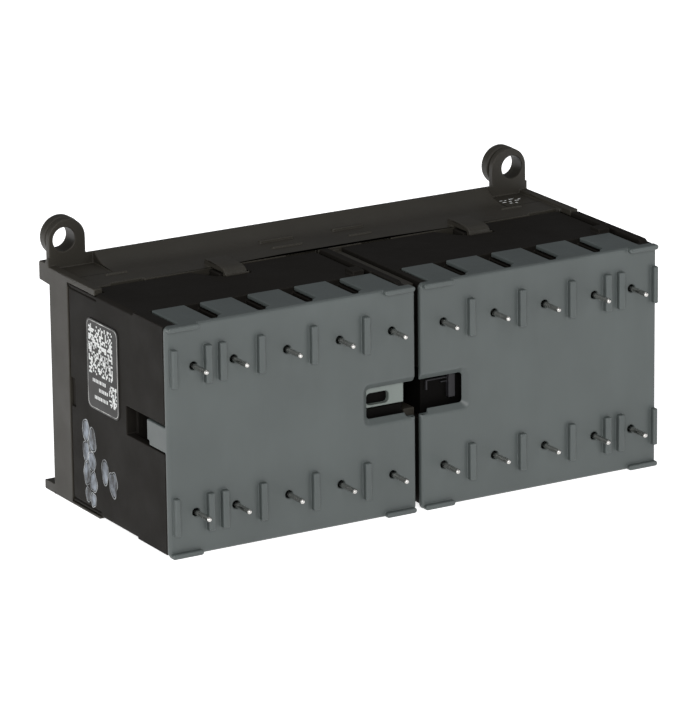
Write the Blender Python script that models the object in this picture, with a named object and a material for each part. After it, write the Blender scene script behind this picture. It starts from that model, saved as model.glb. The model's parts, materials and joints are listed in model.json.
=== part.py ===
"""Reversing mini contactor with solder pins, as separate solids.

Frame: metres, +Z up, +X along the pair, -Y towards the pins, +Y towards the DIN rail.
Sizes are written in millimetres. "Depth" is the distance in front of the plane where the
rail is seated, so it grows towards the pins. "u" is the distance from the middle plane.
"""

from math import cos, pi, sin

import bmesh
import bpy
from mathutils import Matrix, Vector

MM = 0.001

# Driving sizes, mm
PITCH = 10.16          # between poles
COIL_PITCH = 7.62      # last pole to coil pin
ROW = 12.7             # pin row above and below the middle height
MID_Z = 20.05          # middle height of the body
TOP_Z = 40.1
HALF_WIDTH = 48.3
SEAT_Y = 21.9          # rail seat plane, from the origin
EAR_Z = 45.0
REAR = -3.2            # depth of the rear lips' and screw bosses' rear faces
FACE = 42.2            # depth of the front face
PLATE = 1.0            # thickness of the cover plate
PIN_TIP = 47.0
PIN_RADIUS = 0.45
POLES = [PITCH / 2 + PITCH * n for n in range(4)]
COIL_U = POLES[3] + COIL_PITCH
CENTRE_U = 24.35       # middle of a module
MODULE = (1.5, 48.2)   # inner and outer side of a housing
TAB_EDGES = [(3.0, 9.2), (11.9, 18.1), (21.0, 27.1), (30.1, 36.2), (39.1, 45.3)]
LEVER_DEPTH = 29.0     # pivot of the interlock lever


for old in list(bpy.data.objects):
    bpy.data.objects.remove(old, do_unlink=True)

parts = bpy.data.collections.new("din_rail_contactor")
cutters = bpy.data.collections.new("cutters")
bpy.context.scene.collection.children.link(parts)
bpy.context.scene.collection.children.link(cutters)


def material(name, colour, roughness, metallic=0.0):
    mat = bpy.data.materials.new(name)
    mat.use_nodes = True
    shader = mat.node_tree.nodes["Principled BSDF"]
    shader.inputs["Base Color"].default_value = (*colour, 1.0)
    shader.inputs["Roughness"].default_value = roughness
    shader.inputs["Metallic"].default_value = metallic
    return mat


BLACK = material("black_polyamide", (0.035, 0.033, 0.031), 0.5)
HOUSING = material("housing_polyamide", (0.03, 0.029, 0.028), 0.48)
GREY = material("grey_polyamide", (0.13, 0.15, 0.148), 0.5)
PALE = material("pale_carrier", (0.45, 0.5, 0.48), 0.5)
TIN = material("tinned_brass", (0.75, 0.74, 0.7), 0.28, 1.0)
COPPER = material("copper_contact", (0.72, 0.4, 0.25), 0.35, 1.0)
IRON = material("laminated_iron", (0.36, 0.36, 0.37), 0.42, 1.0)
WIRE = material("enamelled_wire", (0.45, 0.16, 0.06), 0.35, 0.6)
BOBBIN = material("bobbin_nylon", (0.62, 0.6, 0.52), 0.55)
STEEL = material("spring_steel", (0.5, 0.5, 0.52), 0.3, 1.0)
LABEL = material("label_film", (0.06, 0.06, 0.06), 0.4)


# Solids. Each helper adds one closed shape to a bmesh.

def box(x, depth, z):
    """A block between three pairs of limits."""
    def add(bm):
        x0, x1 = sorted(x)
        y0, y1 = sorted((SEAT_Y - depth[0], SEAT_Y - depth[1]))
        z0, z1 = sorted(z)
        size = Vector((x1 - x0, y1 - y0, z1 - z0)) * MM
        centre = Vector((x0 + x1, y0 + y1, z0 + z1)) * (MM / 2)
        matrix = Matrix.Translation(centre) @ Matrix.Diagonal((*size, 1.0))
        bmesh.ops.create_cube(bm, size=1.0, matrix=matrix)
    return add


def rod(x, z, depth, radius, segments=12):
    """A cylinder along the depth."""
    def add(bm):
        near, far = sorted(depth)
        centre = Vector((x, SEAT_Y - (near + far) / 2, z)) * MM
        matrix = Matrix.Translation(centre) @ Matrix.Rotation(pi / 2, 4, "X")
        bmesh.ops.create_cone(bm, cap_ends=True, segments=segments, radius1=radius * MM,
                              radius2=radius * MM, depth=(far - near) * MM, matrix=matrix)
    return add


def post(x, depth, z, radius, segments=16):
    """A cylinder along the height."""
    def add(bm):
        low, high = sorted(z)
        centre = Vector((x, SEAT_Y - depth, (low + high) / 2)) * MM
        bmesh.ops.create_cone(bm, cap_ends=True, segments=segments, radius1=radius * MM,
                              radius2=radius * MM, depth=(high - low) * MM,
                              matrix=Matrix.Translation(centre))
    return add


def prism(points, first, last):
    """A solid between two like outlines: points gives a corner's place for each end."""
    def add(bm):
        ends = []
        for end in (first, last):
            ends.append([bm.verts.new(Vector(points(n, end)) * MM) for n in range(points(-1, 0))])
        count = len(ends[0])
        faces = [bm.faces.new(ends[0]), bm.faces.new(ends[1])]
        for n in range(count):
            m = (n + 1) % count
            faces.append(bm.faces.new((ends[0][n], ends[0][m], ends[1][m], ends[1][n])))
        bmesh.ops.recalc_face_normals(bm, faces=faces)
        if sum(face.calc_area() * face.normal.dot(face.calc_center_median()) for face in faces) < 0:
            bmesh.ops.reverse_faces(bm, faces=faces)
    return add


def along_x(outline, x):
    """An outline of (depth, z) pairs carried along X."""
    def place(n, end):
        if n < 0:
            return len(outline)
        depth, z = outline[n]
        return (end, SEAT_Y - depth, z)
    return prism(place, *sorted(x))


def along_depth(outline, depth):
    """An outline of (x, z) pairs carried along the depth."""
    def place(n, end):
        if n < 0:
            return len(outline)
        x, z = outline[n]
        return (x, SEAT_Y - end, z)
    return prism(place, *sorted(depth))


def along_z(outline, z):
    """An outline of (x, depth) pairs carried up the height."""
    def place(n, end):
        if n < 0:
            return len(outline)
        x, depth = outline[n]
        return (x, SEAT_Y - depth, end)
    return prism(place, *sorted(z))


def funnel(x, z, depth, flare):
    """A rectangular hole that opens by flare towards its larger depth."""
    x0, x1 = sorted(x)
    z0, z1 = sorted(z)

    def place(n, end):
        if n < 0:
            return 4
        grow = flare if end == max(depth) else 0.0
        corner = ((x0 - grow, z0 - grow), (x1 + grow, z0 - grow),
                  (x1 + grow, z1 + grow), (x0 - grow, z1 + grow))[n]
        return (corner[0], SEAT_Y - end, corner[1])
    return prism(place, *sorted(depth))


def rounded(x, z, radius, steps=4):
    """Corners of a rectangle with round corners."""
    x0, x1 = sorted(x)
    z0, z1 = sorted(z)
    corners = ((x1 - radius, z1 - radius, 0.0), (x0 + radius, z1 - radius, 0.5),
               (x0 + radius, z0 + radius, 1.0), (x1 - radius, z0 + radius, 1.5))
    outline = []
    for cx, cz, turn in corners:
        for step in range(steps + 1):
            angle = (turn + 0.5 * step / steps) * pi
            outline.append((cx + radius * cos(angle), cz + radius * sin(angle)))
    return outline


def mesh_from(name, shapes):
    bm = bmesh.new()
    for shape in shapes:
        shape(bm)
    mesh = bpy.data.meshes.new(name)
    bm.to_mesh(mesh)
    bm.free()
    return mesh


def solid(name, mat, base, adds=(), cuts=(), smooth=False):
    """One named solid: a base shape, with others joined to it and cut from it."""
    obj = bpy.data.objects.new(name, mesh_from(name, [base]))
    parts.objects.link(obj)
    obj.data.materials.append(mat)
    for kind, shapes in (("UNION", adds), ("DIFFERENCE", cuts)):
        if not shapes:
            continue
        cutter = bpy.data.objects.new(f"{name}_{kind.lower()}", mesh_from(name, shapes))
        cutters.objects.link(cutter)
        cutter.hide_render = True
        cutter.display_type = "WIRE"
        modifier = obj.modifiers.new(kind.lower(), "BOOLEAN")
        modifier.operation = kind
        modifier.solver = "EXACT"
        modifier.use_self = True
        modifier.object = cutter
    if smooth:
        obj.data.shade_smooth()
        obj.data.set_sharp_from_angle(angle=0.6)
    return obj


def coil(name, mat, centre, axis, radius, wire, length, turns, points=12, resolution=1):
    """A round-wire spring around an axis, from centre onwards."""
    curve = bpy.data.curves.new(name, "CURVE")
    curve.dimensions = "3D"
    curve.bevel_depth = wire * MM
    curve.bevel_resolution = resolution
    curve.use_fill_caps = True
    spline = curve.splines.new("POLY")
    count = int(turns * points)
    spline.points.add(count)
    turn = Vector((0, 0, 1)).rotation_difference(Vector(axis))
    for n in range(count + 1):
        angle = 2 * pi * n / points
        rise = wire + (length - 2 * wire) * n / count
        local = Vector((radius * cos(angle), radius * sin(angle), rise)) * MM
        spline.points[n].co = (*(turn @ local), 1.0)
    holder = bpy.data.objects.new(name + "_curve", curve)
    bpy.context.scene.collection.objects.link(holder)
    bpy.context.view_layer.update()
    mesh = bpy.data.meshes.new_from_object(holder)
    bpy.data.objects.remove(holder, do_unlink=True)
    bm = bmesh.new()
    bm.from_mesh(mesh)
    bmesh.ops.remove_doubles(bm, verts=bm.verts, dist=0.000001)
    bm.to_mesh(mesh)
    bm.free()
    mesh.name = name
    obj = bpy.data.objects.new(name, mesh)
    parts.objects.link(obj)
    obj.data.materials.clear()
    obj.data.materials.append(mat)
    obj.data.shade_smooth()
    obj.location = Vector((centre[0], SEAT_Y - centre[1], centre[2])) * MM
    return obj


def set_origin(obj, x, depth, z):
    """Puts an object's origin on its joint axis and leaves its shape where it is."""
    origin = Vector((x, SEAT_Y - depth, z)) * MM
    obj.data.transform(Matrix.Translation(-origin))
    obj.location = origin


# The base plate that carries both contactors.

def base_plate():
    top = [(14.1, 40.1), (6.2, 40.1), (4.4, 40.35), (2.8, 40.95), (1.4, 41.75), (0.5, 42.1),
           (-0.2, 42.0), (-0.6, 41.4), (-0.8, 41.1), (REAR + 0.4, 41.05), (REAR, 40.6),
           (REAR, 37.6), (1.5, 37.6), (1.5, 38.8), (14.1, 38.8)]
    adds = [along_x(top, (-HALF_WIDTH, HALF_WIDTH)),
            box((-HALF_WIDTH, HALF_WIDTH), (0.5, 14.1), (0.0, 1.4)),
            box((-HALF_WIDTH, HALF_WIDTH), (REAR, 1.0), (0.0, 1.7)),
            box((-1.1, 1.1), (2.0, 39.0), (0.6, 39.4))]
    cuts = []
    for side in (-1, 1):
        end = side * HALF_WIDTH
        column = [(end - side * 1.7, 1.0), (end - side * 1.7, 7.2), (end, 7.2), (end, 0.5),
                  (end - side * 0.25, 0.15), (end - side * 0.9, 0.03), (end - side * 1.7, 0.1)]
        adds.append(along_z(column, (0.5, 39.6)))
        # Thin strips along the end, over and under the housing's side wall
        for z in ((39.45, 40.6), (0.0, 0.5)):
            adds.append(box((end - side * 1.6, end), (0.3, 17.1), z))
        for z in ((38.0, 39.5), (0.45, 2.0)):
            cuts.append(box((side * 46.6, side * 50.0), (7.25, 15.0), z))
        # Screw ear: a flat shank in front, a round boss behind it
        ear = [(side * 41.0, 38.0), (side * 41.0, EAR_Z - 0.4)]
        for step in range(1, 12):
            turn = pi * step / 12
            ear.append((side * (44.5 - 3.5 * cos(turn)), EAR_Z + 3.5 * sin(turn)))
        ear += [(side * 48.0, EAR_Z - 0.4), (side * 48.0, 38.0)]
        adds.append(along_depth(ear, (-1.2, 0.3)))
        adds.append(rod(side * 44.4, EAR_Z, (REAR, -0.5), 3.6, 28))
        adds.append(box((side * 42.9, side * 46.5), (REAR, -0.5), (39.0, EAR_Z - 1.0)))
        cuts.append(rod(side * 45.1, EAR_Z, (-4.0, 2.0), 2.1, 24))
        # Flat pocket in front of the ear, where the screw head goes in
        cuts.append(box((side * 39.6, side * 50.0), (0.3, 7.5), (40.6, 44.0)))
        cuts.append(box((side * 39.6, side * 46.7), (0.3, 7.5), (40.0, 44.0)))
        # Noses that hook behind the rail's upper flange
        adds.append(box((side * 14, side * 34), (REAR, -1.4), (36.1, 37.8)))
        # Ledges that place the magnet core
        for z in ((26.4, 27.6), (12.6, 13.8)):
            adds.append(box((side * 14, side * 34), (3.0, 8.0), z))
        # Latch over the housing
        hook = side * CENTRE_U + 2.1
        adds.append(box((hook - 2.1, hook + 2.1), (12.0, 14.0), (39.5, 41.2)))
        latch = [(12.0, 41.2), (18.6, 41.2), (19.4, 40.5), (19.4, 39.3), (18.3, 39.3),
                 (18.3, 40.2), (12.0, 40.2)]
        adds.append(along_x(latch, (hook - 2.1, hook + 2.1)))
    # Slots in the front edge of the top flange
    for x in ((-43.4, -37.0), (-9.4, -3.0), (5.7, 11.6), (40.2, 46.4)):
        cuts.append(box(x, (13.3, 15.0), (38.0, 40.4)))
    # Short raised bars on top
    for x, depth, z in (((-9.7, -3.0), 4.9, 40.6), ((-9.4, -3.5), 8.9, 40.4), ((4.9, 11.1), 4.9, 40.6),
                        ((5.8, 10.3), 9.0, 40.4), ((-41.7, -37.6), 8.4, 40.4), ((37.6, 41.7), 8.4, 40.4)):
        adds.append(box(x, (depth, depth + 0.7), (39.8, z)))
    # Recess, guides and bottom opening for the rail clip
    cuts.append(box((-9.3, 9.3), (0.6, 2.8), (-1.0, 17.0)))
    cuts.append(box((-8.3, 8.3), (-4.0, 1.0), (-1.0, 17.0)))
    cuts.append(box((-9.7, 9.7), (-4.0, -0.001), (-1.0, 3.0)))
    # Slot and bore for the interlock lever and its pin
    cuts.append(box((-3.0, 3.0), (26.4, 31.6), (17.7, 22.5)))
    cuts.append(post(0.0, LEVER_DEPTH, (13.4, 26.8), 0.55, 12))
    base = box((-HALF_WIDTH + 0.6, HALF_WIDTH - 0.6), (0.0, 3.6), (0.0, 39.9))
    return solid("base_plate", BLACK, base, adds, cuts)


def rail_clip():
    clip = solid("din_clip", BLACK, box((-7.95, 7.95), (0.3, 2.5), (0.4, 16.4)),
                 [box((-9.0, 9.0), (0.9, 2.5), (0.4, 16.4)),
                  box((-7.95, 7.95), (-2.6, 1.5), (0.4, 1.9)),
                  box((-7.95, 7.95), (-2.6, -1.4), (0.4, 2.9))],
                 [box((-2.0, 2.0), (-1.0, 3.0), (5.0, 14.4))])
    set_origin(clip, 0.0, 1.4, 0.4)
    coil("din_clip_spring", STEEL, (0.0, 1.4, 6.6), (0, 0, 1), 0.85, 0.17, 7.5, 6, 12, 1)
    return clip


def interlock():
    lever = solid("interlock_lever", BLACK,
                  box((-6.0, 6.0), (LEVER_DEPTH - 0.6, LEVER_DEPTH + 0.6), (18.2, 22.0)),
                  [post(0.0, LEVER_DEPTH, (18.0, 22.2), 1.4, 20)],
                  [post(0.0, LEVER_DEPTH, (17.0, 23.0), 0.56, 12)])
    set_origin(lever, 0.0, LEVER_DEPTH, MID_Z)
    solid("interlock_pin", STEEL, post(0.0, LEVER_DEPTH, (13.7, 26.5), 0.5, 16), smooth=True)


# One contactor. The pair is mirrored about the middle plane, apart from a few details
# that both housings have on their right.

def housing(name, side):
    low, high = MODULE
    mid = side * CENTRE_U
    right = side * (low if side < 0 else high)
    base = box((side * low, side * high), (7.6, 40.9), (0.3, 39.9))
    cuts = [box((side * (low + 1.2), side * (high - 1.3)), (7.0, 26.4), (2.0, 37.0)),
            box((side * (low + 1.2), side * (high - 1.3)), (27.8, 42.0), (15.6, 24.6)),
            box((side * 0.0, side * (low + 2.0)), (27.8, 42.0), (15.6, 24.6)),
            box((side * 0.0, side * 7.8), (25.9, 32.0), (17.4, 22.8)),
            box((mid - 12.4, mid + 12.4), (26.0, 28.0), (15.9, 24.3)),
            box((side * (high - 2.0), side * 50.0), (27.5, 42.0), (17.9, 22.9))]
    walls = [low + 1.2] + [POLES[n] + PITCH / 2 for n in range(3)] + [39.4, high - 1.3]
    for n in range(5):
        u0 = walls[n] + (0.6 if n else 0.0)
        u1 = walls[n + 1] - (0.6 if n < 4 else 0.0)
        for z in ((24.0, 36.0), (4.2, 16.2)):
            cuts.append(box((side * u0, side * u1), (29.7, 42.0), z))
    for z in (MID_Z - ROW, MID_Z + ROW):
        cuts.append(rod(side * COIL_U, z, (25.0, 31.0), 0.9))
    for up in (1, -1):
        def level(z):
            return MID_Z + up * (z - MID_Z)
        # Rear step under the base's flange, shelf for the cover's tabs, grooves between them
        cuts.append(box((side * 0.0, side * 46.9), (7.0, 14.4), (level(38.5), level(41.0))))
        cuts.append(box((side * 46.4, side * 50.0), (7.0, 17.4), (level(39.35), level(41.0))))
        cuts.append(box((side * 2.7, side * 45.6), (31.5, 42.0), (level(39.0), level(41.0))))
        for n in range(4):
            straight, tapered = TAB_EDGES[n][1] + 0.1, TAB_EDGES[n + 1][0] - 0.1
            if side * up < 0:
                straight, tapered = tapered, straight
            end = straight + 0.15 * (tapered - straight)
            groove = [(side * straight, 42.0), (side * straight, 31.5), (side * tapered, 31.5),
                      (side * tapered, 39.6), (side * end, 42.0)]
            cuts.append(along_z(groove, (level(37.4), level(39.1))))
    # Latch pocket and the dark recess beside it
    hook = mid + 2.1
    cuts.append(box((hook - 2.5, hook + 2.5), (17.9, 19.8), (38.9, 41.0)))
    wedge = [(hook - 2.4, 14.0), (hook - 2.4, 18.8), (hook - 3.4, 18.8), (hook - 6.4, 14.0)]
    cuts.append(along_z(wedge, (39.0, 41.0)))
    # Rail along the right-hand top edge with a groove beside it
    cuts.append(box((right - 2.4, right - 1.5), (14.0, 39.5), (39.3, 41.0)))
    rail_start = 14.6 if side < 0 else 17.5
    adds = [box((right - 1.5, right), (rail_start, 39.6), (39.0, 40.3)),
            box((right - 4.6, right - 2.0), (28.4, 31.2), (39.6, 40.7))]
    return solid(name, HOUSING, base, adds, cuts)


def pin_cover(name, side):
    back = FACE - PLATE
    base = box((side * 0.5, side * HALF_WIDTH), (back, FACE), (0.0, TOP_Z))
    adds = [along_depth([(side * 46.9, 18.2), (side * HALF_WIDTH, 18.2),
                         (side * HALF_WIDTH, 22.6), (side * 46.9, 22.6)], (34.9, back + 0.3))]
    window = 9.6 if side < 0 else 9.0
    edge_rib = (46.6, 47.6) if side < 0 else (47.2, 48.1)
    cuts = [funnel((side * -1.0, side * window), (17.8, 22.9), (back - 0.2, FACE + 0.1), 1.3),
            along_z([(side * 45.0, 34.0), (side * 50.0, 34.0), (side * 50.0, 35.6),
                     (side * 48.0, 35.6), (side * 46.0, 34.8)], (17.0, 19.0))]
    for up in (1, -1):
        def level(z):
            return MID_Z + up * (z - MID_Z)
        for n, (plain, stepped) in enumerate(TAB_EDGES):
            root = stepped + (1.4 if n < 4 else 0.1)
            if side * up > 0:
                plain, stepped = stepped, plain
                root = stepped - (1.4 if n else 0.1)
            tab = [(side * stepped, 31.8), (side * plain, 31.8), (side * plain, back + 0.3),
                   (side * root, back + 0.3), (side * root, 40.4), (side * stepped, 39.4)]
            adds.append(along_z(tab, (level(39.3), level(TOP_Z))))
        # Stand-off ribs beside the pins
        for u0, u1 in ((9.75, 11.0), (19.9, 21.15), (30.0, 31.25), (37.3, 38.6), (40.05, 41.3), edge_rib):
            adds.append(box((side * u0, side * u1), (FACE - 0.3, FACE + 1.0),
                            (level(29.6), level(36.2))))
        # Corner strips
        for u0, u1 in ((0.9, 6.8), (42.3, 48.2)):
            strip = rounded((side * u0, side * u1), (level(39.2), level(40.1)), 0.4, 2)
            adds.append(along_depth(strip, (FACE - 0.3, FACE + 0.9)))
        for u in POLES + [COIL_U]:
            cuts.append(rod(side * u, level(MID_Z + ROW), (back - 1, FACE + 2), 0.75))
    return solid(name, GREY, base, adds, cuts)


def contacts(prefix, side):
    for n, u in enumerate(POLES):
        x = side * u
        for word, up in (("top", 1), ("bottom", -1)):
            tip = MID_Z + up * 6.2
            outer = MID_Z + up * 14.1
            inner = MID_Z + up * 4.6
            solid(f"{prefix}_{word}_contact_{n + 1}", TIN,
                  box((x - 1.6, x + 1.6), (30.0, 31.0), (inner, outer)),
                  [rod(x, MID_Z + up * ROW, (30.5, PIN_TIP), PIN_RADIUS, 12),
                   rod(x, tip, (30.5, 31.9), 1.4, 12)])
        solid(f"{prefix}_contact_bridge_{n + 1}", COPPER,
              box((x - 1.5, x + 1.5), (35.7, 36.5), (MID_Z - 7.3, MID_Z + 7.3)),
              [rod(x, MID_Z + 6.2, (34.8, 36.1), 1.2, 12),
               rod(x, MID_Z - 6.2, (34.8, 36.1), 1.2, 12)])
        coil(f"{prefix}_contact_spring_{n + 1}", STEEL, (x, 36.8, MID_Z), (0, -1, 0),
             1.1, 0.16, 2.2, 2.5, 12, 1)
    for word, up in (("top", 1), ("bottom", -1)):
        z = MID_Z + up * ROW
        solid(f"{prefix}_coil_pin_{word}", TIN, rod(side * COIL_U, z, (21.0, PIN_TIP), PIN_RADIUS, 12),
              [box((side * 34.2, side * (COIL_U + 0.5)), (20.6, 21.8), (z - 0.5, z + 0.5))])


def carrier(name, side, mat, notch):
    """The sliding contact carrier: beam in front, neck, plate and cheeks for the armature."""
    mid = side * CENTRE_U
    base = box((side * 2.0, side * 38.3), (30.9, 40.6), (16.1, 24.1))
    adds = [box((mid - 12.0, mid + 12.0), (25.0, 31.5), (16.4, 23.8)),
            box((mid - 15.6, mid + 15.6), (24.9, 26.1), (16.4, 23.8)),
            box((mid - 15.6, mid - 14.3), (21.5, 25.5), (16.4, 23.8)),
            box((mid + 14.3, mid + 15.6), (21.5, 25.5), (16.4, 23.8))]
    cuts = [box((side * 1.0, side * notch[0]), (30.0, notch[1]), (17.4, 22.8)),
            rod(side * 6.4, 21.0, (39.9, 42.0), 1.1, 16)]
    for u in POLES:
        cuts.append(box((side * (u - 1.8), side * (u + 1.8)), (35.4, 39.3), (15.0, 25.0)))
    obj = solid(name, mat, base, adds, cuts)
    set_origin(obj, mid, 28.0, MID_Z)
    return obj


def magnet(prefix, side):
    mid = side * CENTRE_U
    stack = (MID_Z - 6.0, MID_Z + 6.0)
    solid(f"{prefix}_magnet_core", IRON, box((mid - 14.0, mid + 14.0), (3.9, 8.4), stack),
          [box((mid - 4.0, mid + 4.0), (8.0, 18.0), stack),
           box((mid - 14.0, mid - 9.6), (8.0, 18.0), stack),
           box((mid + 9.6, mid + 14.0), (8.0, 18.0), stack)])
    solid(f"{prefix}_armature", IRON, box((mid - 14.0, mid + 14.0), (22.0, 24.6), stack),
          [box((mid - 4.0, mid + 4.0), (20.9, 22.3), stack),
           box((mid - 14.0, mid - 9.6), (20.9, 22.3), stack),
           box((mid + 9.6, mid + 14.0), (20.9, 22.3), stack)])
    tube = rounded((mid - 5.0, mid + 5.0), (MID_Z - 7.0, MID_Z + 7.0), 0.8, 2)
    flange = rounded((mid - 9.2, mid + 9.2), (MID_Z - 11.4, MID_Z + 11.4), 1.2, 3)
    solid(f"{prefix}_coil_bobbin", BOBBIN, along_depth(tube, (8.7, 16.5)),
          [along_depth(flange, (8.7, 9.5)), along_depth(flange, (15.7, 16.5))],
          [box((mid - 4.3, mid + 4.3), (8.0, 17.0), (MID_Z - 6.3, MID_Z + 6.3))])
    outer = rounded((mid - 8.8, mid + 8.8), (MID_Z - 10.9, MID_Z + 10.9), 3.0, 4)
    inner = rounded((mid - 5.2, mid + 5.2), (MID_Z - 7.2, MID_Z + 7.2), 0.9, 2)
    solid(f"{prefix}_coil_winding", WIRE, along_depth(outer, (9.8, 15.4)), (),
          [along_depth(inner, (9.0, 16.0))])
    coil(f"{prefix}_return_spring", STEEL, (mid, 16.8, MID_Z), (0, -1, 0), 8.0, 0.25, 4.9, 2,
         24, 1)


base_plate()
rail_clip()
interlock()
solid("side_label", LABEL,
      box((-48.38, -48.24), (14.0, 25.2), (19.4, 35.3)))
for prefix, side, mat, notch in (("left", -1, PALE, (4.8, 32.6)), ("right", 1, BLACK, (6.9, 34.6))):
    housing(f"{prefix}_housing", side)
    pin_cover(f"{prefix}_pin_cover", side)
    contacts(prefix, side)
    carrier(f"{prefix}_contact_carrier", side, mat, notch)
    magnet(prefix, side)
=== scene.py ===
import json
from math import cos, pi, radians, sin
from random import Random

import bmesh
import bpy
from mathutils import Matrix, Vector


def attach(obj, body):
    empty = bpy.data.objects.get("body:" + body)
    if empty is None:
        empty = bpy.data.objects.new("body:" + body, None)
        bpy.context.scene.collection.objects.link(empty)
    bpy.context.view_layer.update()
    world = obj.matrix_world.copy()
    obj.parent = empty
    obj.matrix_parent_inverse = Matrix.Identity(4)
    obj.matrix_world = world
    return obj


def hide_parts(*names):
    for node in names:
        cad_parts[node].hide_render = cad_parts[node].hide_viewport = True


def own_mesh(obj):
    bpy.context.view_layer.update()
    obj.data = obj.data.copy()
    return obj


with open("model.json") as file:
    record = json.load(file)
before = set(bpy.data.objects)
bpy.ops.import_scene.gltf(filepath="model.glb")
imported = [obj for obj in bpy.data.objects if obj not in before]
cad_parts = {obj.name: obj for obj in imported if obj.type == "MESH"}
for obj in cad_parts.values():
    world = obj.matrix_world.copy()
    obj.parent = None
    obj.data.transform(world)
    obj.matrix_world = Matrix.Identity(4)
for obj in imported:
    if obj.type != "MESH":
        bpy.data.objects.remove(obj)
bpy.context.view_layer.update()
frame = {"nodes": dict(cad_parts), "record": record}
NODES = frame["nodes"]

MM = 0.001
SEAT_Y = 21.9      # rail seat plane, mm from the origin; depths grow from it towards the pins
MID_Z = 20.05      # height of the middle, about which the covers and housings mirror
TOP_Z = 40.1       # top of the covers
HALF_WIDTH = 48.3
FACE = 42.2        # depth of the covers' front
LABEL_INK_X = (-48.375, -48.355)
LENS = 268.069044  # mm, for Blender's 36 mm sensor


# ---------------------------------------------------------------- materials

class Graph:
    """A material's node tree, with short names for what the materials below need."""

    def __init__(self, name):
        self.material = bpy.data.materials.new(name)
        self.material.use_nodes = True
        self.tree = self.material.node_tree
        self.shader = self.tree.nodes["Principled BSDF"]

    def node(self, kind, **settings):
        node = self.tree.nodes.new(kind)
        for key, value in settings.items():
            setattr(node, key, value)
        return node

    def link(self, source, target):
        self.tree.links.new(source, target)

    def coordinates(self):
        return self.node("ShaderNodeTexCoord").outputs["Object"]

    def noise(self, scale, detail=3.0, roughness=0.55, stretch=None):
        noise = self.node("ShaderNodeTexNoise")
        noise.inputs["Scale"].default_value = scale
        noise.inputs["Detail"].default_value = detail
        noise.inputs["Roughness"].default_value = roughness
        source = self.coordinates()
        if stretch:
            mapping = self.node("ShaderNodeMapping")
            mapping.inputs["Scale"].default_value = stretch
            self.link(source, mapping.inputs["Vector"])
            source = mapping.outputs["Vector"]
        self.link(source, noise.inputs["Vector"])
        return noise.outputs["Fac"]

    def spread(self, source, low, high, from_low=0.0, from_high=1.0):
        ranged = self.node("ShaderNodeMapRange")
        ranged.inputs["From Min"].default_value = from_low
        ranged.inputs["From Max"].default_value = from_high
        ranged.inputs["To Min"].default_value = low
        ranged.inputs["To Max"].default_value = high
        self.link(source, ranged.inputs["Value"])
        return ranged.outputs["Result"]

    def mix(self, factor, first, second):
        mix = self.node("ShaderNodeMix", data_type="RGBA")
        for value, socket in ((first, mix.inputs[6]), (second, mix.inputs[7])):
            if isinstance(value, tuple):
                socket.default_value = (*value, 1.0)
            else:
                self.link(value, socket)
        self.link(factor, mix.inputs[0])
        return mix.outputs[2]

    def edges(self, radius):
        """Near 1 on convex and concave edges, 0 on flat faces."""
        bevel = self.node("ShaderNodeBevel", samples=4)
        bevel.inputs["Radius"].default_value = radius
        geometry = self.node("ShaderNodeNewGeometry")
        dot = self.node("ShaderNodeVectorMath", operation="DOT_PRODUCT")
        self.link(bevel.outputs["Normal"], dot.inputs[0])
        self.link(geometry.outputs["Normal"], dot.inputs[1])
        return self.spread(dot.outputs["Value"], 1.0, 0.0, 0.82, 0.99)

    def bump(self, height, distance, normal=None):
        bump = self.node("ShaderNodeBump")
        bump.inputs["Distance"].default_value = distance
        bump.inputs["Strength"].default_value = 1.0
        self.link(height, bump.inputs["Height"])
        if normal is not None:
            self.link(normal, bump.inputs["Normal"])
        return bump.outputs["Normal"]


def shade(colour, factor):
    return tuple(min(1.0, c * factor) for c in colour)


def plastic(name, colour, rough, edge_highlight=1.6, grain=0.000012, specular=0.5):
    """Moulded polyamide: fine spark-eroded grain, faint clouding, edges painted lighter as a highlight."""
    g = Graph(name)
    cloud = g.spread(g.noise(45.0, 4.0), 0.0, 1.0, 0.3, 0.7)
    body = g.mix(cloud, shade(colour, 0.9), shade(colour, 1.1))
    streak = g.spread(g.noise(220.0, 3.0, 0.6, (1.0, 1.0, 0.25)), 0.0, 0.35, 0.45, 0.8)
    body = g.mix(streak, body, shade(colour, 1.25))
    # Painted highlight: edges are lightened in a broken noise pattern, standing in for light caught on the
    # rounded edges.
    edge = g.edges(0.00035)
    highlight_mask = g.node("ShaderNodeMath", operation="MULTIPLY")
    g.link(edge, highlight_mask.inputs[0])
    g.link(g.spread(g.noise(900.0, 3.0), 0.15, 0.9, 0.35, 0.65), highlight_mask.inputs[1])
    g.link(g.mix(highlight_mask.outputs[0], body, shade(colour, edge_highlight)), g.shader.inputs["Base Color"])
    g.link(g.spread(g.noise(160.0, 4.0), rough - 0.06, rough + 0.07, 0.3, 0.7), g.shader.inputs["Roughness"])
    g.shader.inputs["Specular IOR Level"].default_value = specular
    bevel = g.node("ShaderNodeBevel", samples=4)
    bevel.inputs["Radius"].default_value = 0.00018
    fine = g.bump(g.noise(5200.0, 2.0, 0.6), grain, bevel.outputs["Normal"])
    g.link(fine, g.shader.inputs["Normal"])
    return g.material


def streaked(name, dark, light, rough):
    """Ink rubbed thin, so that the plastic under it shows through in patches."""
    g = Graph(name)
    patch = g.spread(g.noise(520.0, 5.0, 0.65, (1.0, 1.0, 0.6)), 0.0, 1.0, 0.38, 0.66)
    g.link(g.mix(patch, dark, light), g.shader.inputs["Base Color"])
    g.link(g.spread(g.noise(300.0, 3.0), rough - 0.08, rough + 0.1, 0.3, 0.7), g.shader.inputs["Roughness"])
    g.shader.inputs["Specular IOR Level"].default_value = 0.3
    g.link(g.bump(g.noise(5200.0, 2.0, 0.6), 0.000006), g.shader.inputs["Normal"])
    return g.material


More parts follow.
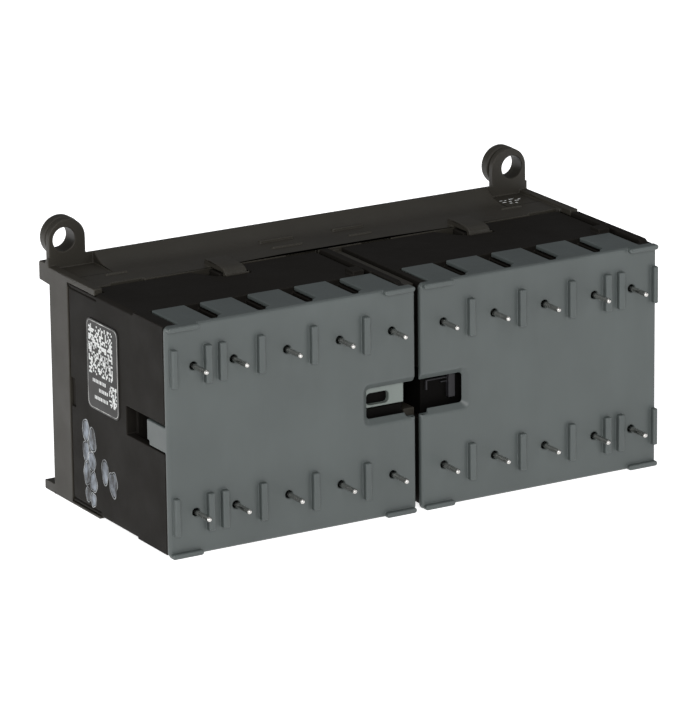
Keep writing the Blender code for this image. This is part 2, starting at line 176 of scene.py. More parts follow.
def metal(name, colour, rough, scale=2600.0, depth=0.000004, stretch=(1.0, 0.15, 1.0)):
    """Drawn or rolled metal: fine drawing lines, patches of duller surface."""
    g = Graph(name)
    cloud = g.spread(g.noise(600.0, 4.0), 0.0, 1.0, 0.35, 0.7)
    g.link(g.mix(cloud, shade(colour, 0.82), shade(colour, 1.08)), g.shader.inputs["Base Color"])
    g.shader.inputs["Metallic"].default_value = 1.0
    g.link(g.spread(g.noise(900.0, 3.0), rough - 0.08, rough + 0.12, 0.3, 0.7), g.shader.inputs["Roughness"])
    g.link(g.bump(g.noise(scale, 3.0, 0.6, stretch), depth), g.shader.inputs["Normal"])
    return g.material


BASE = plastic("base_black", (0.0225, 0.0203, 0.016), 0.46, specular=0.2)
SHELL = plastic("housing_black", (0.0088, 0.0078, 0.0066), 0.56, 2.2, specular=0.05)
GREY = plastic("cover_grey", (0.052, 0.0608, 0.0592), 0.42, 1.35, specular=0.4)
PALE = plastic("carrier_pale", (0.115, 0.134, 0.123), 0.4, 1.1)
STRIP = plastic("carrier_strip", (0.013, 0.0125, 0.014), 0.45, specular=0.2)
# Near-black, far darker than the black mouldings: painted shade for parts seen deep in the front windows.
SHADE_BLACK = plastic("painted_shade_black", (0.0022, 0.002, 0.0018), 0.6, specular=0.03)
TIN = metal("tinned_pin", (0.5, 0.49, 0.47), 0.2)
COPPER = metal("contact_copper", (0.72, 0.42, 0.27), 0.32)
IRON = metal("iron_laminations", (0.36, 0.36, 0.37), 0.42, 900.0, 0.00002, (1.0, 1.0, 6.0))
WIRE = metal("enamelled_wire", (0.46, 0.17, 0.07), 0.35, 1800.0, 0.00005, (0.1, 3.0, 0.1))
STEEL = metal("spring_steel", (0.5, 0.5, 0.52), 0.3)
NYLON = plastic("bobbin_nylon", (0.6, 0.58, 0.5), 0.5, 1.05)
FILM = plastic("label_film", (0.0115, 0.0108, 0.0098), 0.4, 1.2, 0.000003, 0.2)
INK = plastic("light_ink", (0.6, 0.61, 0.6), 0.5, 1.0, 0.000003)
SMEAR = streaked("ink_smear", (0.012, 0.011, 0.01), (0.2, 0.225, 0.26), 0.5)
RIM = streaked("label_rim", (0.12, 0.12, 0.115), (0.5, 0.5, 0.48), 0.45)
RING = streaked("ink_ring", (0.05, 0.052, 0.055), (0.42, 0.44, 0.45), 0.5)

FINISH = {"black_polyamide": BASE, "housing_polyamide": SHELL, "grey_polyamide": GREY,
          "pale_carrier": PALE, "tinned_brass": TIN, "copper_contact": COPPER,
          "laminated_iron": IRON, "enamelled_wire": WIRE, "bobbin_nylon": NYLON,
          "spring_steel": STEEL, "label_film": FILM}

SLOT = {s["node"]: s["material_slot"] for s in frame["record"]["subparts"]}
for name, obj in NODES.items():
    obj.data.materials.clear()
    obj.data.materials.append(SHELL if name == "interlock_lever" else FINISH[SLOT[name]])


# ---------------------------------------------------------------- shapes
# Sizes are in millimetres. "Depth" is the distance in front of the rail seat plane, "u" the
# distance from the middle plane. Each helper returns a function that adds one closed shape.

def at(x, depth, z):
    return Vector((x, SEAT_Y - depth, z)) * MM


def skin(sections):
    """A closed solid through like outlines, with its faces turned outwards."""
    def add(bm):
        rings = [[bm.verts.new(point) for point in outline] for outline in sections]
        faces = [bm.faces.new(rings[0]), bm.faces.new(rings[-1])]
        count = len(rings[0])
        for low, high in zip(rings, rings[1:]):
            for n in range(count):
                m = (n + 1) % count
                faces.append(bm.faces.new((low[n], low[m], high[m], high[n])))
        bmesh.ops.recalc_face_normals(bm, faces=faces)
        if sum(f.calc_area() * f.normal.dot(f.calc_center_median()) for f in faces) < 0:
            bmesh.ops.reverse_faces(bm, faces=faces)
    return add


def prism(outline, place, ends):
    return skin([[at(*place(point, end)) for point in outline] for end in ends])


def along_x(outline, x):
    return prism(outline, lambda p, end: (end, p[0], p[1]), sorted(x))


def along_depth(outline, depth):
    return prism(outline, lambda p, end: (p[0], end, p[1]), sorted(depth))


def along_z(outline, z):
    return prism(outline, lambda p, end: (p[0], p[1], end), sorted(z))


def box(x, depth, z):
    return along_depth([(x[0], z[0]), (x[1], z[0]), (x[1], z[1]), (x[0], z[1])], depth)


def ring(cx, cy, radius, count):
    return [(cx + radius * cos(2 * pi * n / count), cy + radius * sin(2 * pi * n / count))
            for n in range(count)]


def rounded(a, b, radius, steps=5):
    """Corners of a rectangle with round corners."""
    a0, a1 = sorted(a)
    b0, b1 = sorted(b)
    corners = ((a1 - radius, b1 - radius, 0.0), (a0 + radius, b1 - radius, 0.5),
               (a0 + radius, b0 + radius, 1.0), (a1 - radius, b0 + radius, 1.5))
    return [(ca + radius * cos((turn + 0.5 * s / steps) * pi),
             cb + radius * sin((turn + 0.5 * s / steps) * pi))
            for ca, cb, turn in corners for s in range(steps + 1)]


def rod(x, z, depth, radius, count=32):
    return along_depth(ring(x, z, radius, count=count), depth)


def post(x, depth, z, radius, count=32):
    return along_z(ring(x, depth, radius, count=count), z)


def loft(sections):
    """A solid through like outlines of (x, z) pairs, each at its own depth."""
    return skin([[at(x, depth, z) for x, z in outline] for depth, outline in sections])


def turned(x, z, profile, count=24):
    """A round shape along the depth from (depth, radius) pairs."""
    return loft([(depth, ring(x, z, r, count=count)) for depth, r in profile])


def funnel(x, z, depth, flare, radius=0.5):
    """A rectangular hole with round corners that opens by flare towards its larger depth."""
    x0, x1 = sorted(x)
    z0, z1 = sorted(z)
    inner = rounded((x0, x1), (z0, z1), radius)
    outer = rounded((x0 - flare, x1 + flare), (z0 - flare, z1 + flare), radius + flare * 0.7)
    return loft([(depth[0] - 1.0, inner), (depth[0], inner), (depth[1], outer)])


def pillow(x, z, depth, radius, corner=0.9, steps=4):
    """A plate whose front edge is rounded."""
    x0, x1 = sorted(x)
    z0, z1 = sorted(z)
    sections = [(depth[0], rounded((x0, x1), (z0, z1), corner))]
    for n in range(steps + 1):
        turn = 0.5 * pi * n / steps
        inset = radius * (1 - cos(turn))
        sections.append((depth[1] - radius * (1 - sin(turn)),
                         rounded((x0 + inset, x1 - inset), (z0 + inset, z1 - inset), corner - inset * 0.8)))
    return loft(sections)


# ---------------------------------------------------------------- pieces

def temporary(name, shapes):
    bm = bmesh.new()
    for shape in shapes:
        shape(bm)
    mesh = bpy.data.meshes.new(name)
    bm.to_mesh(mesh)
    bm.free()
    obj = bpy.data.objects.new(name, mesh)
    bpy.context.scene.collection.objects.link(obj)
    return obj


def piece(name, body, surface, base, adds=(), cuts=(), bevel=0.12, segments=2, nodes=(), slot=None,
          angle=32.0, extra=()):
    """A visible piece: base with shapes joined to it and cut from it, its edges rounded by bevel mm.

    Extra shapes are set into it without being joined. It rides on body and stands for the CAD
    nodes given."""
    work = temporary(name, [base])
    spare = []
    for kind, shapes in (("UNION", adds), ("DIFFERENCE", cuts)):
        if shapes:
            cutter = temporary(name + "_tool", shapes)
            spare.append(cutter)
            modifier = work.modifiers.new(kind, "BOOLEAN")
            modifier.operation = kind
            modifier.solver = "EXACT"
            modifier.use_self = True
            modifier.object = cutter
    graph = bpy.context.evaluated_depsgraph_get()
    mesh = bpy.data.meshes.new_from_object(work.evaluated_get(graph))
    for obj in [work] + spare:
        bpy.data.objects.remove(obj, do_unlink=True)
    bm = bmesh.new()
    bm.from_mesh(mesh)
    bmesh.ops.remove_doubles(bm, verts=bm.verts, dist=0.002 * MM)
    for shape in extra:
        shape(bm)
    bm.to_mesh(mesh)
    bm.free()
    mesh.name = name
    mesh.materials.clear()
    mesh.materials.append(surface)
    mesh.shade_smooth()
    obj = bpy.data.objects.new(name, mesh)
    bpy.context.scene.collection.objects.link(obj)
    if bevel:
        modifier = obj.modifiers.new("rounded_edges", "BEVEL")
        modifier.width = bevel * MM
        modifier.segments = segments
        modifier.limit_method = "ANGLE"
        modifier.angle_limit = radians(angle)
        modifier.use_clamp_overlap = False
        modifier.miter_outer = "MITER_ARC"
    mesh.set_sharp_from_angle(angle=radians(angle))
    smooth = obj.modifiers.new("even_shading", "WEIGHTED_NORMAL")
    smooth.keep_sharp = True
    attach(obj, body)
    if nodes:
        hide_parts(*nodes)
        slot = slot or SLOT[nodes[0]]
    return obj


REAR = -3.2
EAR_Z = 45.0
PIN_ROW = 12.7
POLES = [5.08 + 10.16 * n for n in range(4)]
COIL_U = POLES[3] + 7.62
CENTRE_U = 24.35
CORE_FRONT = 16.8    # fixed end of the return springs
TAB_EDGES = [(3.0, 9.2), (11.9, 18.1), (21.0, 27.1), (30.1, 36.2), (39.1, 45.3)]


def mirrored(up):
    """Heights as given for the upper half (up = 1), or mirrored to the lower half (up = -1)."""
    return lambda z: MID_Z + up * (z - MID_Z)


def base_plate():
    sweep = [(6.6 - 6.0 * t, 40.1 + 2.0 * t ** 2.1) for t in [n / 12 for n in range(13)]]
    top = [(14.1, 40.1)] + sweep + [(0.2, 42.12), (-0.15, 42.0), (-0.5, 41.6), (-0.75, 41.2), (-1.1, 41.08),
                                    (REAR + 0.5, 41.05), (REAR + 0.12, 40.9), (REAR, 40.5), (REAR, 37.75),
                                    (REAR + 0.15, 37.6), (1.5, 37.6), (1.5, 38.8), (14.1, 38.8)]
    adds = [along_x(top, (-HALF_WIDTH, HALF_WIDTH)),
            box((-HALF_WIDTH, HALF_WIDTH), (0.5, 14.1), (0.0, 1.4)),
            along_x([(REAR + 0.2, 0.0), (1.0, 0.0), (1.0, 1.7), (REAR + 0.2, 1.7), (REAR, 1.5), (REAR, 0.2)],
                    (-HALF_WIDTH, HALF_WIDTH)),
            box((-1.1, 1.1), (2.0, 39.0), (0.6, 39.4))]
    cuts = []
    for side in (-1, 1):
        end = side * HALF_WIDTH
        corner = [(end, 0.75), (end - side * 0.06, 0.48), (end - side * 0.22, 0.25), (end - side * 0.5, 0.1),
                  (end - side * 0.9, 0.03)]
        column = [(end - side * 1.7, 1.0), (end - side * 1.7, 7.2), (end, 7.2)] + corner \
            + [(end - side * 1.7, 0.03)]
        adds.append(along_z(column, (0.5, 39.6)))
        for z in ((39.45, 40.6), (0.0, 0.5)):
            adds.append(box((end - side * 1.6, end), (0.3, 17.1), z))
        for z in ((38.0, 39.5), (0.45, 2.0)):
            cuts.append(box((side * 46.6, side * 50.0), (7.25, 15.0), z))
        # Screw ear: shank, narrow neck and boss, with the hole through all three
        ear = [(side * 41.0, 38.0), (side * 41.0, EAR_Z - 0.4)]
        ear += [(side * (44.5 - 3.5 * cos(pi * n / 20)), EAR_Z + 3.5 * sin(pi * n / 20))
                for n in range(1, 20)]
        ear += [(side * 48.0, EAR_Z - 0.4), (side * 48.0, 38.0)]
        adds.append(along_depth(ear, (-0.95, 0.3)))
        crown, neck = ring(side * 44.4, EAR_Z, 3.6, count=56), ring(side * 44.55, EAR_Z, 3.05, count=56)
        adds.append(loft([(REAR, crown), (-1.3, crown), (-1.2, neck), (-0.9, neck)]))
        adds.append(box((side * 42.9, side * 46.5), (REAR + 0.01, -0.9), (39.0, EAR_Z - 1.0)))
        cuts.append(rod(side * 45.1, EAR_Z, (-4.0, 2.0), 2.1, 40))
        # Pocket for the screw head in front of the ear
        cuts.append(box((side * 39.6, side * 50.0), (0.3, 7.5), (40.6, 44.0)))
        cuts.append(box((side * 39.6, side * 46.7), (0.3, 7.5), (40.0, 44.0)))
        # Noses behind the rail's upper flange, ledges for the magnet core
        adds.append(box((side * 14, side * 34), (REAR + 0.01, -1.4), (36.1, 37.8)))
        for z in ((26.4, 27.6), (12.6, 13.8)):
            adds.append(box((side * 14, side * 34), (3.0, 8.0), z))
        hook = side * CENTRE_U + 2.1
        adds.append(box((hook - 2.1, hook + 2.1), (12.0, 14.0), (39.5, 41.2)))
        latch = [(12.0, 40.7), (12.6, 41.15), (13.4, 41.25), (17.8, 41.1), (18.9, 40.85), (19.4, 40.4),
                 (19.4, 39.3), (18.5, 39.3), (18.5, 40.2), (12.0, 40.2)]
        adds.append(along_x(latch, (hook - 2.1, hook + 2.1)))
        adds.append(box((hook - 2.1, hook + 2.6), (18.9, 19.5), (39.6, 40.1)))
        # Shallow pockets in the back of the plate, between ribs
        for u in (12.5, 22.0, 31.5, 41.0):
            for z in ((19.6, 34.4), (4.0, 17.8)):
                pocket = rounded((side * (u - 4.2), side * (u + 4.2)), z, 0.8)
                cuts.append(along_depth(pocket, (-1.0, 0.8)))
    for x in ((-43.4, -37.0), (-9.4, -3.0), (5.7, 11.6), (40.2, 46.4)):
        cuts.append(box(x, (13.3, 15.0), (38.0, 40.4)))
    for x, depth, z in (((-9.7, -3.0), 4.9, 40.62), ((-9.4, -3.5), 8.9, 40.4), ((4.9, 11.1), 4.9, 40.62),
                        ((5.8, 10.3), 9.0, 40.4), ((-41.7, -37.6), 8.4, 40.4), ((37.6, 41.7), 8.4, 40.4)):
        adds.append(box(x, (depth, depth + 0.7), (39.8, z)))
    # Recess in which the rail clip slides
    cuts.append(box((-9.3, 9.3), (0.6, 2.8), (-1.0, 17.0)))
    cuts.append(box((-8.3, 8.3), (-4.0, 1.0), (-1.0, 17.0)))
    cuts.append(box((-9.7, 9.7), (-4.0, -0.001), (-1.0, 3.0)))
    # Slot for the interlock lever, bore for its pin, open middle behind the front window
    cuts.append(box((-3.0, 3.0), (26.4, 40.0), (17.5, 23.0)))
    cuts.append(post(0.0, 29.0, (13.4, 26.8), 0.55, 16))
    base = box((-HALF_WIDTH + 0.6, HALF_WIDTH - 0.6), (0.0, 3.6), (0.0, 39.9))
    piece("base_moulding", "base", BASE, base, adds, cuts, bevel=0.13, nodes=("base_plate",))


def housing(name, side):
    low, high = 1.5, 48.2
    mid = side * CENTRE_U
    right = side * (low if side < 0 else high)
    base = box((side * low, side * high), (7.6, 40.9), (0.3, 39.9))
    cuts = [box((side * (low + 1.2), side * (high - 1.3)), (7.0, 26.4), (2.0, 37.0)),
            box((side * (low + 1.2), side * (high - 1.3)), (27.8, 42.0), (15.6, 24.6)),
            box((side * 0.0, side * (low + 2.0)), (27.8, 42.0), (15.6, 24.6)),
            box((side * 0.0, side * 7.8), (25.9, 32.0), (17.4, 22.8)),
            box((mid - 12.4, mid + 12.4), (26.0, 28.0), (15.9, 24.3)),
            box((side * (high - 2.0), side * 50.0), (27.5, 42.0), (17.9, 22.9))]
    walls = [low + 1.2] + [POLES[n] + 5.08 for n in range(3)] + [39.4, high - 1.3]
    for n in range(5):
        u0 = walls[n] + (0.6 if n else 0.0)
        u1 = walls[n + 1] - (0.6 if n < 4 else 0.0)
        for z in ((24.0, 36.0), (4.2, 16.2)):
            cuts.append(box((side * u0, side * u1), (29.7, 42.0), z))
    for z in (MID_Z - PIN_ROW, MID_Z + PIN_ROW):
        cuts.append(rod(side * COIL_U, z, (25.0, 31.0), 0.9, 16))
    for up in (1, -1):
        level = mirrored(up)
        cuts.append(box((side * 0.0, side * 46.9), (7.0, 14.4), (level(38.5), level(41.0))))
        cuts.append(box((side * 46.4, side * 50.0), (7.0, 17.4), (level(39.35), level(41.0))))
        cuts.append(box((side * 2.7, side * 45.6), (31.5, 42.0), (level(39.0), level(41.0))))
        for n in range(4):
            straight, tapered = TAB_EDGES[n][1] + 0.1, TAB_EDGES[n + 1][0] - 0.1
            if side * up < 0:
                straight, tapered = tapered, straight
            end = straight + 0.15 * (tapered - straight)
            groove = [(side * straight, 42.0), (side * straight, 31.5), (side * tapered, 31.5),
                      (side * tapered, 39.6), (side * end, 42.0)]
            cuts.append(along_z(groove, (level(36.6), level(39.1))))
    # Latch pocket and the sloping recess beside it
    hook = mid + 2.1
    cuts.append(box((hook - 2.5, hook + 2.9), (17.9, 19.8), (38.9, 41.0)))
    wedge = [(hook - 2.4, 14.0), (hook - 2.4, 18.8), (hook - 3.4, 18.8), (hook - 6.4, 14.0)]
    cuts.append(along_z(wedge, (38.4, 41.0)))
    # Rail along the right-hand top edge with a groove beside it, and a small block
    cuts.append(box((right - 2.4, right - 1.5), (14.0, 39.5), (38.9, 41.0)))
    rail_start = 14.6 if side < 0 else 17.5
    rail = [(rail_start, 39.0), (39.6, 39.0), (39.6, 39.7), (39.3, 40.1), (38.8, 40.3), (rail_start, 40.3)]
    adds = [along_x(rail, (right - 1.5, right)),
            box((right - 4.6, right - 2.0), (28.4, 31.2), (39.6, 40.7))]
    # Chamfer along the outer top edge, a groove under the base's end strip and a notch by the seam
    out = side * high
    for up in (1, -1):
        level = mirrored(up)
        if side < 0:
            chamfer = [(out - 1.0, level(39.4)), (out, level(39.35)), (out + 0.62, level(39.92)),
                       (out + 0.6, level(41.0)), (out - 1.0, level(41.0))]
            cuts.append(along_depth(chamfer, (17.4, 30.6)))
        cuts.append(box((out - side * 0.22, out + side), (7.0, 17.6), (level(38.62), level(38.95))))
    cuts.append(box((out - side * 0.35, out + side), (7.0, 9.2), (17.9, 22.9)))
    # Ribs across the side slot
    adds.append(box((side * 45.3, side * 46.0), (28.2, 40.0), (17.0, 18.5)))
    adds.append(along_depth(rounded((side * 45.6, side * 47.4), (19.9, 20.7), 0.25), (27.0, 36.0)))
    piece(f"{name}_moulding", "base", SHELL, base, adds, cuts, nodes=(f"{name}_housing",))


def cover(name, side):
    back = FACE - 1.0
    window = 9.6 if side < 0 else 9.0
    edge_rib = (46.6, 47.6) if side < 0 else (47.2, 48.1)
    base = pillow((side * 0.5, side * HALF_WIDTH), (0.0, TOP_Z), (back, FACE), 0.55)
    adds = [along_depth([(side * 46.9, 18.2), (side * HALF_WIDTH, 18.2),
                         (side * HALF_WIDTH, 22.6), (side * 46.9, 22.6)], (34.9, back + 0.3))]
    raised = []
    cuts = [funnel((side * -1.6, side * window), (17.8, 22.9), (back, FACE + 0.1), 1.35),
            box((0.0, side * 2.1), (back - 1.0, FACE + 0.1), (17.05, 18.0)),
            along_z([(side * 45.0, 34.0), (side * 50.0, 34.0), (side * 50.0, 35.6),
                     (side * 48.0, 35.6), (side * 46.0, 34.8)], (17.0, 19.0))]
    for up in (1, -1):
        level = mirrored(up)
        for n, (plain, stepped) in enumerate(TAB_EDGES):
            flipped = side * up > 0
            plain, stepped = (stepped, plain) if flipped else (plain, stepped)
            last = n == 0 if flipped else n == 4
            tab = [(side * stepped, 31.8), (side * plain, 31.8), (side * plain, back + 0.3)]
            if last:
                tab.append((side * stepped, back + 0.3))
            else:
                root = stepped - 1.4 if flipped else stepped + 1.4
                tab += [(side * root, back + 0.3), (side * root, 40.4), (side * stepped, 39.4)]
            adds.append(along_z(tab, (level(39.3), level(TOP_Z))))
        for u0, u1 in ((9.75, 11.0), (19.9, 21.15), (30.0, 31.25), (37.3, 38.6), (40.05, 41.3), edge_rib):
            raised.append(box((side * u0, side * u1), (FACE - 0.6, FACE + 1.0), (level(29.6), level(36.2))))
        for u0, u1 in ((0.9, 6.8), (42.3, 48.2)):
            strip = rounded((side * u0, side * u1), (level(39.2), level(40.1)), 0.42, 4)
            raised.append(along_depth(strip, (FACE - 0.6, FACE + 0.9)))
        for u in POLES + [COIL_U]:
            cuts.append(rod(side * u, level(MID_Z + PIN_ROW), (back - 1, FACE + 2), 0.7, 24))
    piece(f"{name}_cover_plate", "base", GREY, base, adds, cuts, bevel=0.22, segments=3,
          nodes=(f"{name}_pin_cover",), angle=34.0, extra=raised)


def pin(x, z, start, tip=47.0, radius=0.45):
    dome = [(tip - radius * (1 - sin(turn)), radius * cos(turn))
            for turn in [0.08 * pi * n for n in range(7)]]
    return turned(x, z, [(start, radius)] + dome, 20)


def contacts(name, side):
    for n, u in enumerate(POLES):
        x = side * u
        for word, up in (("top", 1), ("bottom", -1)):
            z = MID_Z + up * PIN_ROW
            blade = box((x - 1.6, x + 1.6), (30.0, 31.0), (MID_Z + up * 4.6, MID_Z + up * 14.1))
            button = turned(x, MID_Z + up * 6.2, [(30.5, 1.4), (31.6, 1.4), (31.82, 1.2), (31.9, 0.8)], 24)
            piece(f"{name}_{word}_pin_{n + 1}", "base", TIN, blade, [pin(x, z, 30.5), button], bevel=0.07,
                  nodes=(f"{name}_{word}_contact_{n + 1}",), angle=50.0)
    for word, up in (("top", 1), ("bottom", -1)):
        z = MID_Z + up * PIN_ROW
        foot = box((side * 34.2, side * (COIL_U + 0.5)), (20.6, 21.8), (z - 0.5, z + 0.5))
        piece(f"{name}_coil_wire_pin_{word}", "base", TIN, pin(side * COIL_U, z, 21.0), [foot], bevel=0.07,
              nodes=(f"{name}_coil_pin_{word}",), angle=50.0)


def carrier(name, side, surface, notch):
    """Contact carrier: beam across the poles, neck, plate and cheeks that hold the armature."""
    mid = side * CENTRE_U
    base = box((side * 2.0, side * 38.3), (30.9, 40.6), (16.1, 24.1))
    adds = [box((mid - 12.0, mid + 12.0), (25.0, 31.5), (16.4, 23.8)),
            box((mid - 15.6, mid + 15.6), (24.9, 26.1), (16.4, 23.8)),
            box((mid - 15.6, mid - 14.3), (21.5, 25.5), (16.4, 23.8)),
            box((mid + 14.3, mid + 15.6), (21.5, 25.5), (16.4, 23.8))]
    cuts = [box((side * 1.0, side * notch[0]), (30.0, notch[1]), (17.4, 22.8))]
    for u in POLES:
        cuts.append(box((side * (u - 1.8), side * (u + 1.8)), (35.4, 39.3), (15.0, 25.0)))
    body = f"{name}_carrier"
    if side < 0:
        cuts += [box((-11.6, -1.0), (39.9, 41.0), (15.0, 19.4)),
                 along_depth(rounded((-9.3, -4.9), (19.8, 21.9), 0.7), (39.6, 41.0))]
        # Painted shade: a near-black patch set in the notch of the pale carrier, and a near-black bar under
        # the pale block, where the window lies in shade.
        shade_outline = rounded((-9.25, -4.95), (19.85, 21.85), 0.68)
        piece("left_carrier_shade_patch", body, SHADE_BLACK, along_depth(shade_outline, (39.3, 39.75)), bevel=0.0,
              slot="black_polyamide")
        piece("left_carrier_bar", body, SHADE_BLACK, box((-10.9, -2.1), (39.4, 40.35), (16.9, 19.25)), bevel=0.25,
              slot="black_polyamide")
    else:
        cuts += [box((0.5, 10.6), (39.5, 41.0), (15.0, 25.0))]
        piece("right_carrier_strip", body, STRIP, box((7.1, 8.4), (39.2, 40.4), (18.6, 23.6)),
              [box((2.9, 7.3), (39.2, 39.9), (21.95, 22.2)), box((2.9, 3.2), (39.2, 39.9), (20.4, 22.2)),
               box((5.9, 7.3), (39.2, 39.9), (21.3, 21.5))], bevel=0.06, slot="black_polyamide")
    piece(f"{name}_carrier_moulding", body, surface, base, adds, cuts, bevel=0.1,
          nodes=(f"{name}_contact_carrier",))


def laminated(name, body, node, outline, count=24):
    """A stack of thin plates with fine gaps."""
    height = 12.0 / count
    plates = [along_z(outline, (MID_Z - 6.0 + height * n, MID_Z - 6.0 + height * (n + 1) - 0.035))
              for n in range(count)]
    obj = temporary(name, plates)
    obj.data.materials.append(IRON)
    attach(obj, body)
    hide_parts(node)


def magnet(name, side):
    mid = side * CENTRE_U

    def yoke(back, root, tip):
        return [(mid - 14.0, back), (mid + 14.0, back), (mid + 14.0, tip), (mid + 9.6, tip),
                (mid + 9.6, root), (mid + 4.0, root), (mid + 4.0, tip), (mid - 4.0, tip),
                (mid - 4.0, root), (mid - 9.6, root), (mid - 9.6, tip), (mid - 14.0, tip)]
    laminated(f"{name}_core_stack", "base", f"{name}_magnet_core", yoke(3.9, 8.4, 18.0))
    laminated(f"{name}_armature_stack", f"{name}_carrier", f"{name}_armature", yoke(24.6, 22.0, 20.9))
    sections = []
    turns = 12
    for n in range(turns * 4 + 1):
        swell = 0.22 * abs(sin(pi * n / 4))
        half = (8.55 + swell, 10.65 + swell)
        sections.append((9.8 + 5.6 * n / (turns * 4), rounded((mid - half[0], mid + half[0]),
                                                              (MID_Z - half[1], MID_Z + half[1]), 3.0)))
    inner = rounded((mid - 5.2, mid + 5.2), (MID_Z - 7.2, MID_Z + 7.2), 0.9)
    piece(f"{name}_wound_wire", "base", WIRE, loft(sections), (), [along_depth(inner, (9.0, 16.0))],
          bevel=0.0, nodes=(f"{name}_coil_winding",), angle=60.0)


def spring(name, node, place, wire, radius, length, turns):
    """A round-wire coil spring of the given length and number of turns.

    place(a, b, along) gives the point that lies along the spring, off its axis by a and b."""
    sections = []
    for n in range(32 * turns + 1):
        turn = 2 * pi * n / 32
        along = length * n / (32 * turns)
        loop = []
        for m in range(10):
            out = radius + wire * cos(0.2 * pi * m)
            loop.append(at(*place(out * cos(turn), out * sin(turn), along + wire * sin(0.2 * pi * m))))
        sections.append(loop)
    obj = piece(name, "base", STEEL, skin(sections), bevel=0.0, nodes=(node,), angle=60.0)
    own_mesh(obj)


def springs():
    for name, mid in (("left", -CENTRE_U), ("right", CENTRE_U)):
        spring(f"{name}_return_coil", f"{name}_return_spring",
               lambda a, b, along, mid=mid: (mid + a, CORE_FRONT + along, MID_Z + b),
               wire=0.25, radius=8.0, length=4.9,
               turns=2)
    spring("clip_coil", "din_clip_spring", lambda a, b, along: (a, 1.4 + b, 6.6 + along),
           wire=0.17, radius=0.85, length=7.5,
           turns=6)


def printed(name, surface, shapes):
    """Thin ink or film that lies on a face."""
    obj = temporary(name, shapes)
    obj.data.materials.append(surface)
    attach(obj, "base")


def block(d, z, width, height):
    """A thin rectangle of ink on the label."""
    return along_x([(d, z), (d + width, z), (d + width, z + height), (d, z + height)], LABEL_INK_X)


def blocks(pick, corner, size, counts, share, mark):
    """Ink rectangles in a random share of the cells of a grid, with no meaning."""
    rows, cols = counts
    return [block(corner[0] + size[0] * col / cols, corner[1] + size[1] * row / rows, *mark)
            for row in range(rows) for col in range(cols) if pick.random() < share]


def label():
    area = ((14.0, 25.2), (19.4, 35.3))
    piece("label_film_plate", "base", FILM, along_x(rounded(*area, 1.3), (-48.36, -48.18)), bevel=0.04,
          nodes=("side_label",))
    pick = Random(41)
    # Generic block patterns that stand for a code and a small graphic
    marks = blocks(pick, (14.75, 25.7), (8.5, 8.7), (24, 24), 0.52, (0.33, 0.33))
    marks += blocks(pick, (21.8, 21.2), (2.7, 3.8), (12, 9), 0.55, (0.28, 0.29))
    # Plain bars that stand for small print
    for z0, start, stop in ((24.3, 16.0, 21.0), (22.9, 18.2, 21.2), (21.4, 16.6, 21.3)):
        spot = start
        while spot < stop - 0.3:
            length = pick.uniform(0.2, 0.42)
            marks.append(block(spot, z0, length, 0.62))
            spot += length + 0.24
    printed("label_marks", INK, marks)
    outer = rounded((14.25, 24.95), (19.65, 35.05), 1.15)
    inner = rounded((14.36, 24.84), (19.78, 34.92), 1.05)
    piece("label_border", "base", RIM, along_x(outer, LABEL_INK_X), (),
          [along_x(inner, (-48.5, -48.3))], bevel=0.0, slot="label_film")


def smudges():
    """Smeared ink rings on the outer face, with no shape of a letter."""
    pick = Random(12)
    rings, fills = [], []
    for d0, z0, rd, rz in ((12.6, 14.7, 1.3, 2.0), (14.9, 13.4, 1.4, 2.1), (12.5, 10.9, 1.2, 1.9),
                           (14.5, 9.6, 1.5, 1.8), (12.7, 7.0, 1.3, 2.1), (15.0, 6.0, 1.3, 2.0),
                           (13.0, 3.3, 1.1, 1.3), (14.8, 2.8, 1.1, 1.3), (19.3, 9.0, 1.3, 2.2),
                           (22.2, 7.6, 1.6, 2.2)):
        waves = [pick.uniform(-0.09, 0.09) for _ in range(3)]
        outline, hole = [], []
        for n in range(36):
            turn = 2 * pi * n / 36
            r = 1 + waves[0] * cos(2 * turn) + waves[1] * sin(3 * turn) + waves[2] * cos(5 * turn)
            outline.append((d0 + rd * r * cos(turn), z0 + rz * r * sin(turn)))
            hole.append((d0 + (rd - 0.15) * r * cos(turn), z0 + (rz - 0.15) * r * sin(turn)))
        rings.append((outline, hole))
    for n, (outline, hole) in enumerate(rings):
        piece(f"ink_ring_{n + 1}", "base", RING, along_x(outline, (-48.225, -48.19)), (),
              [along_x(hole, (-49.0, -48.0))], bevel=0.0, slot="label_film")
        centre = [sum(p[i] for p in hole) / 36 for i in (0, 1)]
        fills.append(along_x([(0.9 * d + 0.1 * centre[0], 0.9 * z + 0.1 * centre[1]) for d, z in hole],
                             (-48.212, -48.19)))
    printed("ink_smears", SMEAR, fills)


def floor_marks():
    """Short plain dashes stamped on the floor of the right screw pocket."""
    dashes = []
    places = ((40.6, 3.2, 0.5), (41.5, 3.3, 0.4), (42.6, 3.0, 0.9), (40.5, 4.4, 0.7), (41.9, 4.3, 0.5),
              (43.2, 4.2, 0.8), (41.4, 5.4, 0.5), (42.5, 5.5, 0.4), (44.2, 3.6, 0.5))
    for x, depth, length in places:
        dashes.append(along_z([(x, depth), (x + length, depth), (x + length, depth + 0.3), (x, depth + 0.3)],
                              (39.99, 40.02)))
    printed("pocket_dashes", INK, dashes)


base_plate()
for side, name in ((-1, "left"), (1, "right")):
    housing(name, side)
    cover(name, side)
    contacts(name, side)
    magnet(name, side)
carrier("left", -1, PALE, (4.8, 32.6))
# The right carrier moulding gets the near-black painted shade colour, standing in for the shade deep in the
# right window.
carrier("right", 1, SHADE_BLACK, (6.9, 34.6))
springs()
label()
smudges()
floor_marks()

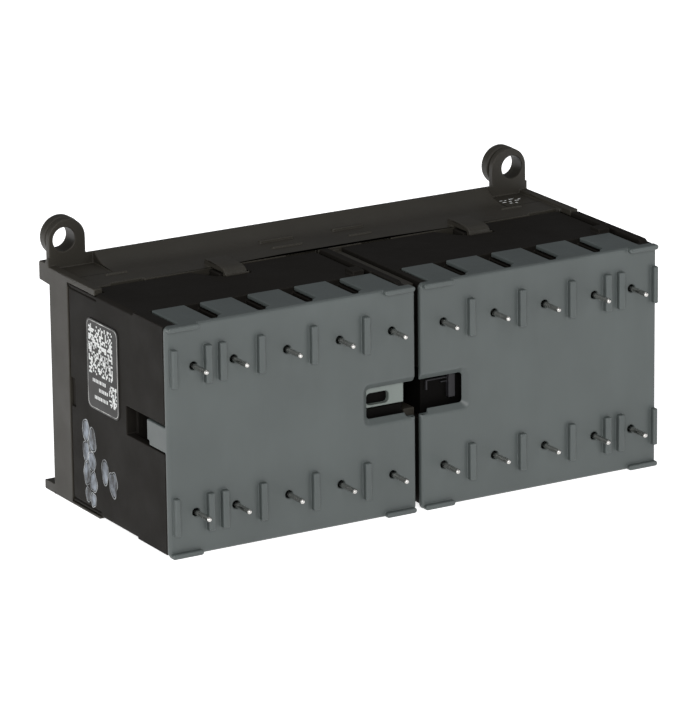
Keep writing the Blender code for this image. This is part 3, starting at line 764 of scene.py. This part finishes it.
# CAD nodes that stay in view: split corners welded, and edges rounded except on the springs
for name, obj in NODES.items():
    if obj.hide_render:
        continue
    weld = obj.modifiers.new("weld", "WELD")
    weld.merge_threshold = 0.000002
    if "spring" in name:
        continue
    bevel = obj.modifiers.new("rounded_edges", "BEVEL")
    bevel.width = 0.1 * MM
    bevel.segments = 2
    bevel.limit_method = "ANGLE"
    bevel.angle_limit = radians(35)


# ---------------------------------------------------------------- floor, light, camera

def floor():
    mesh = bpy.data.meshes.new("floor")
    bm = bmesh.new()
    bmesh.ops.create_grid(bm, x_segments=1, y_segments=1, size=6.0)
    bm.to_mesh(mesh)
    bm.free()
    obj = bpy.data.objects.new("floor", mesh)
    obj.location = (0, 0, -0.00005)
    bpy.context.scene.collection.objects.link(obj)
    g = Graph("floor_paper")
    g.link(g.mix(g.noise(3.0, 2.0), (0.93, 0.93, 0.93), (0.96, 0.96, 0.96)), g.shader.inputs["Base Color"])
    g.shader.inputs["Roughness"].default_value = 0.9
    g.shader.inputs["Specular IOR Level"].default_value = 0.1
    g.shader.inputs["Emission Color"].default_value = (1.0, 1.0, 1.0, 1.0)
    g.shader.inputs["Emission Strength"].default_value = 0.75
    obj.data.materials.append(g.material)


def softbox(name, place, aim, size, power):
    light = bpy.data.lights.new(name, "AREA")
    light.shape = "RECTANGLE"
    light.size, light.size_y = size
    light.energy = power
    obj = bpy.data.objects.new(name, light)
    obj.location = place
    obj.rotation_mode = "QUATERNION"
    obj.rotation_quaternion = (Vector(aim) - Vector(place)).to_track_quat("-Z", "Y")
    bpy.context.scene.collection.objects.link(obj)


def camera():
    """Long lens from the front left, a little above the object."""
    turn, tilt, roll = radians(30.262), radians(16.57), radians(-0.654)
    view = Vector((sin(turn) * cos(tilt), cos(turn) * cos(tilt), -sin(tilt)))
    right = Vector((cos(turn), -sin(turn), 0.0))
    up = right.cross(view)
    side = cos(roll) * right + sin(roll) * up
    top = -sin(roll) * right + cos(roll) * up
    data = bpy.data.cameras.new("camera")
    data.lens = LENS
    data.clip_start = 0.05
    obj = bpy.data.objects.new("camera", data)
    matrix = Matrix((side, top, -view)).transposed().to_4x4()
    matrix.translation = Vector((-0.43607, -0.74487, 0.28023))
    obj.matrix_world = matrix
    bpy.context.scene.collection.objects.link(obj)
    bpy.context.scene.camera = obj


floor()
camera()
softbox("key", (-0.55, -1.1, 0.55), (0.0, 0.0, 0.02), (0.9, 0.7), 14.0)
softbox("fill", (0.9, -0.9, 0.5), (0.0, 0.0, 0.02), (0.8, 0.8), 5.0)
softbox("top", (0.0, 0.1, 1.2), (0.0, 0.0, 0.0), (1.4, 1.4), 5.0)
softbox("side", (-1.1, 0.2, 0.35), (0.0, 0.0, 0.02), (0.8, 0.6), 6.0)

world = bpy.data.worlds.new("studio")
world.use_nodes = True
world.node_tree.nodes["Background"].inputs["Color"].default_value = (0.9, 0.93, 1.0, 1.0)
world.node_tree.nodes["Background"].inputs["Strength"].default_value = 0.12
bpy.context.scene.world = world
bpy.context.scene.view_settings.view_transform = "Standard"
